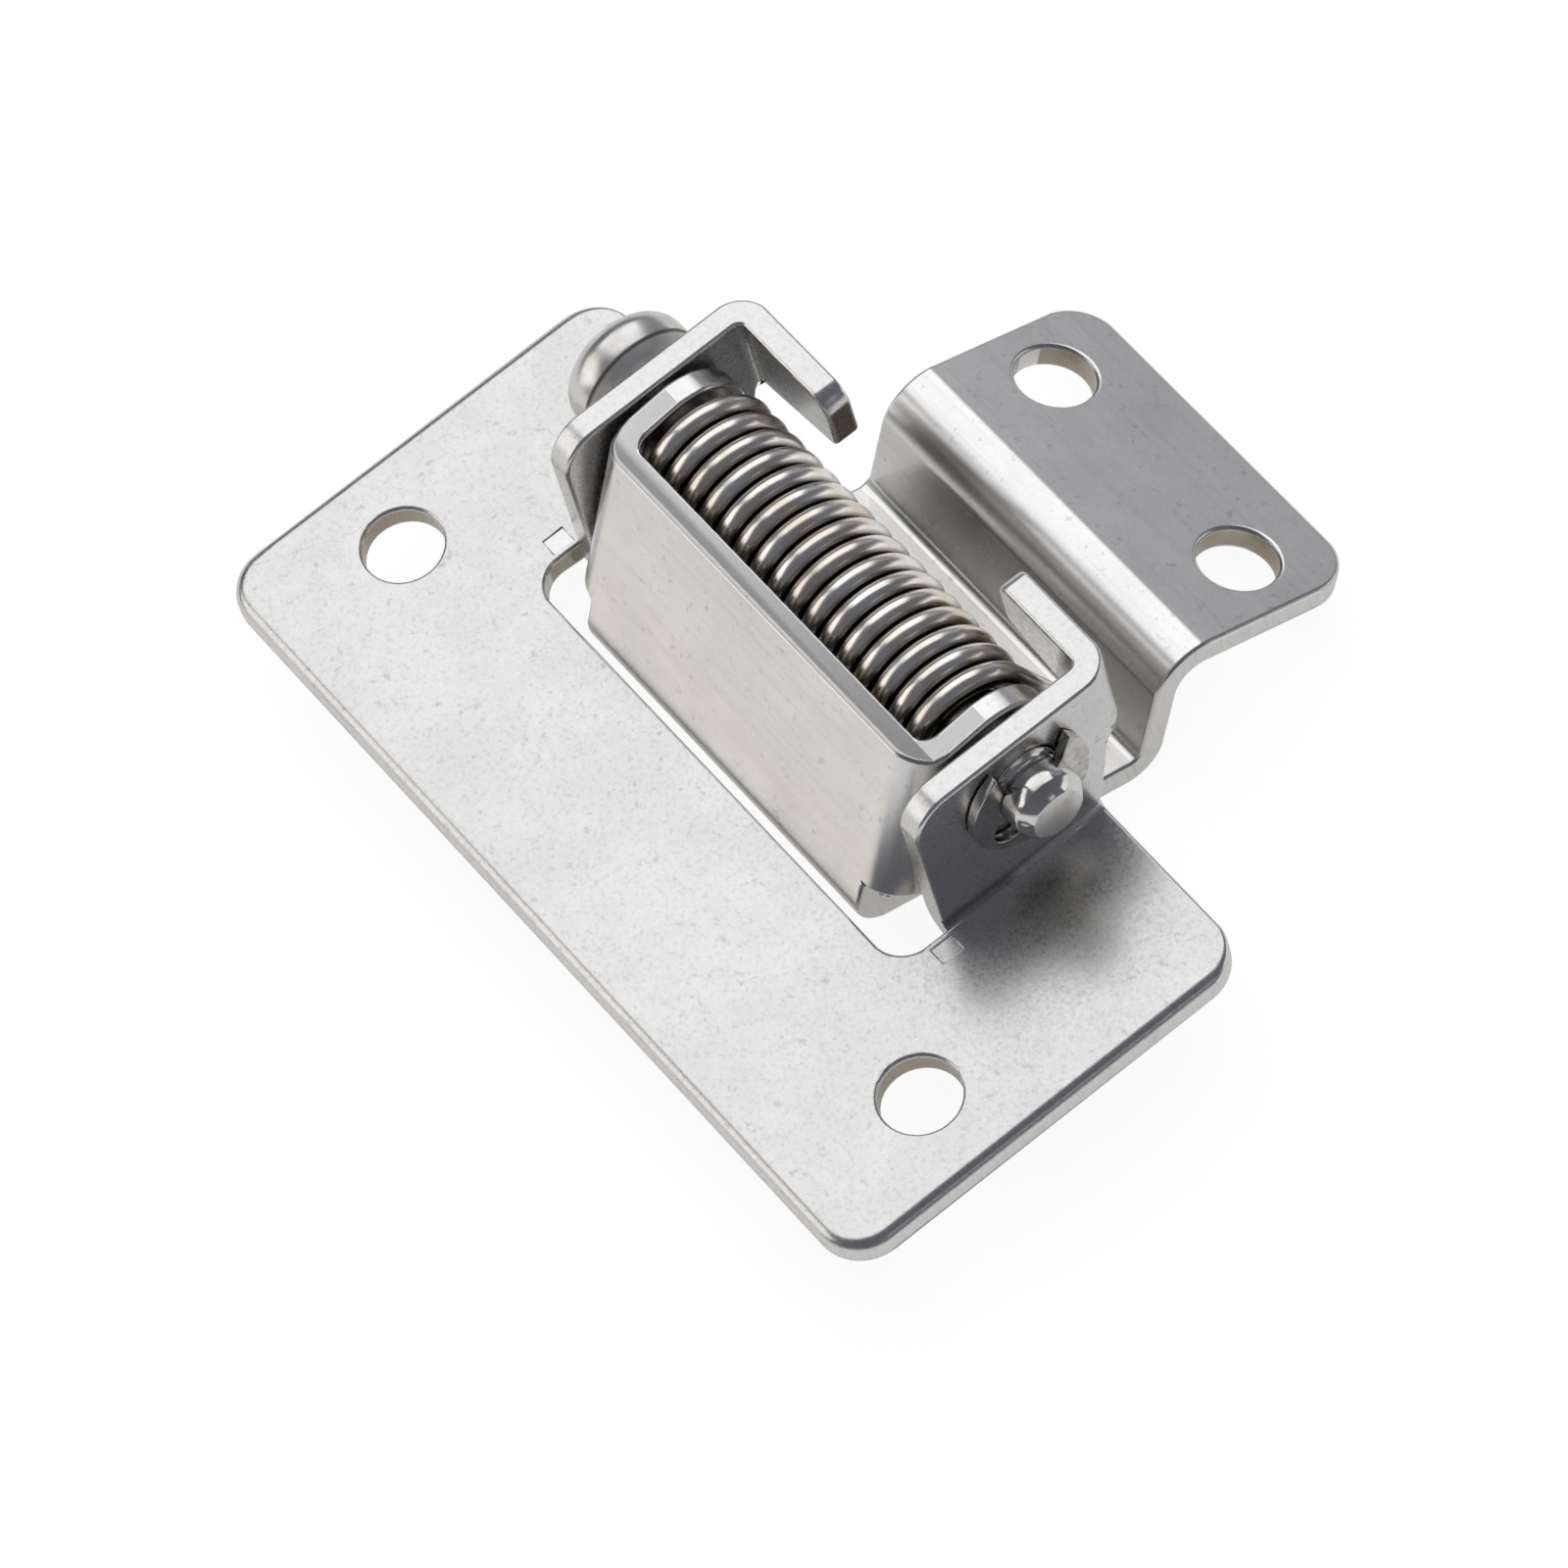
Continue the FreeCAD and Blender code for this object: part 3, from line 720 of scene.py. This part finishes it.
def stored(tree, geometry, name, value, kind="FLOAT"):
    """Store a value on every point under a name that a finish can read."""
    return add_node(tree, "GeometryNodeStoreNamedAttribute",
                    {"Geometry": geometry, "Name": name, "Value": value},
                    data_type=kind, domain="POINT").outputs[0]


print("spring helpers ready")

# %% The path of the wire
bend_points, join_distance, same_point = 14, 0.002 * mm, 0.01 * mm


def coil_run(tree, given):
    """The helix from the wall leg to the hook leg, its points laid out by their index."""
    steps = do_math(tree, "CEIL", do_math(tree, "MULTIPLY", given["Turns"], given["Points a turn"]))
    share = do_math(tree, "DIVIDE", add_node(tree, "GeometryNodeInputIndex").outputs[0], steps)
    swept = do_math(tree, "MULTIPLY", do_math(tree, "MULTIPLY", share, given["Turns"]), math.tau)
    angle = do_math(tree, "SUBTRACT", given["Wall leg angle"], swept)
    side = do_math(tree, "SUBTRACT", do_math(tree, "MULTIPLY", share, 2.0), 1.0)
    x = do_math(tree, "MULTIPLY", given["Coil half length"], side)
    line = add_node(tree, "GeometryNodeMeshLine", {"Count": do_math(tree, "ADD", steps, 1.0)})
    return add_node(tree, "GeometryNodeSetPosition",
                    {"Geometry": line.outputs[0],
                     "Position": point_on_coil(tree, given, x, angle)}).outputs[0]


def wire_path(tree, given):
    """The wire's middle line: both legs and the helix, joined, with the hook's bend rounded."""
    half, wall, hook = given["Coil half length"], given["Wall leg angle"], given["Hook leg angle"]
    wall_start = point_on_coil(tree, given, do_math(tree, "MULTIPLY", half, -1.0), wall)
    wall_tip = shifted(tree, wall_start, leg_direction(tree, wall, -1.0), given["Wall leg length"])
    hook_start = point_on_coil(tree, given, half, hook)
    bend = shifted(tree, hook_start, leg_direction(tree, hook, 1.0), given["Hook leg length"])
    hook_tip = shifted(tree, bend, (0.0, 1.0, 0.0), given["Hook length"])
    joined = add_node(tree, "GeometryNodeJoinGeometry")
    for run in (straight(tree, bend, hook_tip), straight(tree, hook_start, bend),
                coil_run(tree, given), straight(tree, wall_tip, wall_start)):
        tree.links.new(run, joined.inputs[0])
    chain = add_node(tree, "GeometryNodeMergeByDistance",
                     {"Geometry": joined.outputs[0], "Distance": join_distance}).outputs[0]
    wire = add_node(tree, "GeometryNodeMeshToCurve", {"Mesh": chain}).outputs[0]
    here = add_node(tree, "GeometryNodeInputPosition").outputs[0]
    apart = add_node(tree, "ShaderNodeVectorMath", {0: here, 1: bend}, operation="DISTANCE")
    at_bend = do_math(tree, "LESS_THAN", apart.outputs["Value"], same_point)
    radius = do_math(tree, "MULTIPLY", at_bend, given["Hook bend radius"])
    return add_node(tree, "GeometryNodeFilletCurve",
                    {"Curve": wire, "Count": bend_points, "Radius": radius,
                     "Limit Radius": True}, mode="POLY").outputs[0]


print("the hook's bend will have", bend_points, "points")

# %% The whole tree
def swept_wire(tree, given, path):
    """Sweep the wire's circle along its path, and store where each point lies on the wire."""
    length = add_node(tree, "GeometryNodeSplineParameter").outputs["Length"]
    path = stored(tree, path, "along", length)
    circle = add_node(tree, "GeometryNodeCurvePrimitiveCircle",
                      {"Resolution": given["Points round"],
                       "Radius": do_math(tree, "MULTIPLY", given["Wire diameter"], 0.5)}).outputs[0]
    here = add_node(tree, "GeometryNodeInputPosition").outputs[0]
    circle = stored(tree, circle, "around", here, "FLOAT_VECTOR")
    swept = add_node(tree, "GeometryNodeCurveToMesh",
                     {"Curve": path, "Profile Curve": circle, "Fill Caps": True}).outputs[0]
    smooth = add_node(tree, "GeometryNodeSetShadeSmooth", {"Geometry": swept}).outputs[0]
    facing = add_node(tree, "ShaderNodeSeparateXYZ",
                      {0: add_node(tree, "GeometryNodeInputNormal").outputs[0]}).outputs[0]
    return stored(tree, smooth, "beside", do_math(tree, "ABSOLUTE", facing))


def spring_tree(sizes, finish):
    """The Geometry Nodes tree that winds the spring."""
    tree = bpy.data.node_groups.new("wound_spring", "GeometryNodeTree")
    identifiers = named_inputs(tree, sizes)
    tree.interface.new_socket("Geometry", in_out="OUTPUT", socket_type="NodeSocketGeometry")
    given = tree.nodes.new("NodeGroupInput").outputs
    wire = swept_wire(tree, given, wire_path(tree, given))
    real = add_node(tree, "GeometryNodeRealizeInstances", {"Geometry": wire}).outputs[0]
    coated = add_node(tree, "GeometryNodeSetMaterial", {"Geometry": real, "Material": finish})
    add_node(tree, "NodeGroupOutput", {"Geometry": coated.outputs[0]})
    return tree, identifiers


print("the tree's inputs:", ", ".join(spring_sizes))

# %% [markdown]
# ## Finish of the spring: drawn wire
# Spring wire is drawn through a die, so it is smooth and glossy along its length, with faint lines
# the same way, and the lubricant and heat leave it a warm grey. Where one turn faces the next, the
# wire is painted near black as painted shade between the turns. The tree stores where each point
# lies round the wire and along it, so the lines follow the wire through every turn, and how far it
# faces its neighbour.

# %% Drawn wire
def drawn_wire(name):
    """Drawn spring wire: warm grey, glossy, lined along the wire, with painted shade between the
    turns.
    """
    clean_grey, warm_grey = (0.97, 0.95, 0.91, 1.0), (0.82, 0.74, 0.62, 1.0)
    painted_turn_shade = (0.05, 0.042, 0.034, 1.0)
    finish, tree, shader = bare_metal(name)
    around = add_node(tree, "ShaderNodeSeparateXYZ", {0: read_mark(tree, "around", "Vector")})
    drawn_out = do_math(tree, "MULTIPLY", read_mark(tree, "along"), 0.04)
    path = add_node(tree, "ShaderNodeCombineXYZ",
                    {0: around.outputs[0], 1: around.outputs[1], 2: drawn_out}).outputs[0]
    lines = add_node(tree, "ShaderNodeTexNoise",
                     {"Vector": path, "Scale": 6000.0, "Detail": 2.0}).outputs["Fac"]
    stains = object_noise(tree, 500.0, 3.0)
    colour = patches(tree, stains, 0.35, 0.65, 1.0, clean_grey, warm_grey)
    # Where a turn faces the next, the wire is painted near black: painted shade between the turns.
    colour = patches(tree, read_mark(tree, "beside"), 0.66, 0.93, 0.93, colour, painted_turn_shade)
    tree.links.new(colour, shader.inputs["Base Color"])
    tree.links.new(ramp(tree, lines, 0.3, 0.7, 0.20, 0.30), shader.inputs["Roughness"])
    add_bump(tree, shader, lines, 0.15, 0.01 * mm)
    return finish


wire_finish = drawn_wire("drawn_wire")
print("finish:", wire_finish.name)

# %% Wind the spring
tree, identifiers = spring_tree(spring_sizes, wire_finish)
winder = bpy.data.objects.new("spring_winder", bpy.data.meshes.new("spring_winder"))
bpy.context.scene.collection.objects.link(winder)
winding = winder.modifiers.new("wound_spring", "NODES")
winding.node_group = tree
for name, value in spring_sizes.items():
    winding[identifiers[name]] = value
wound = winder.evaluated_get(bpy.context.evaluated_depsgraph_get())
spring_mesh = bpy.data.meshes.new_from_object(wound)
bpy.data.objects.remove(winder)
spring = bpy.data.objects.new("torsion_spring_wound", spring_mesh)
bpy.context.scene.collection.objects.link(spring)
spring_mesh.name = "torsion_spring_wound"
low = [min(v.co[k] for v in spring_mesh.vertices) for k in range(3)]
high = [max(v.co[k] for v in spring_mesh.vertices) for k in range(3)]
print("spring box, mm:", [round(v / mm, 2) for v in low], [round(v / mm, 2) for v in high])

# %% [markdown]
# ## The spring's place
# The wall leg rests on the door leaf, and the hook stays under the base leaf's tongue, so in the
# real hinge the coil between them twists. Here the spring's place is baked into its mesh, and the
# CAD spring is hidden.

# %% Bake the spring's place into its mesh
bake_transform(spring)
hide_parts("torsion_spring")
print("spring has", len(spring_mesh.polygons), "faces")
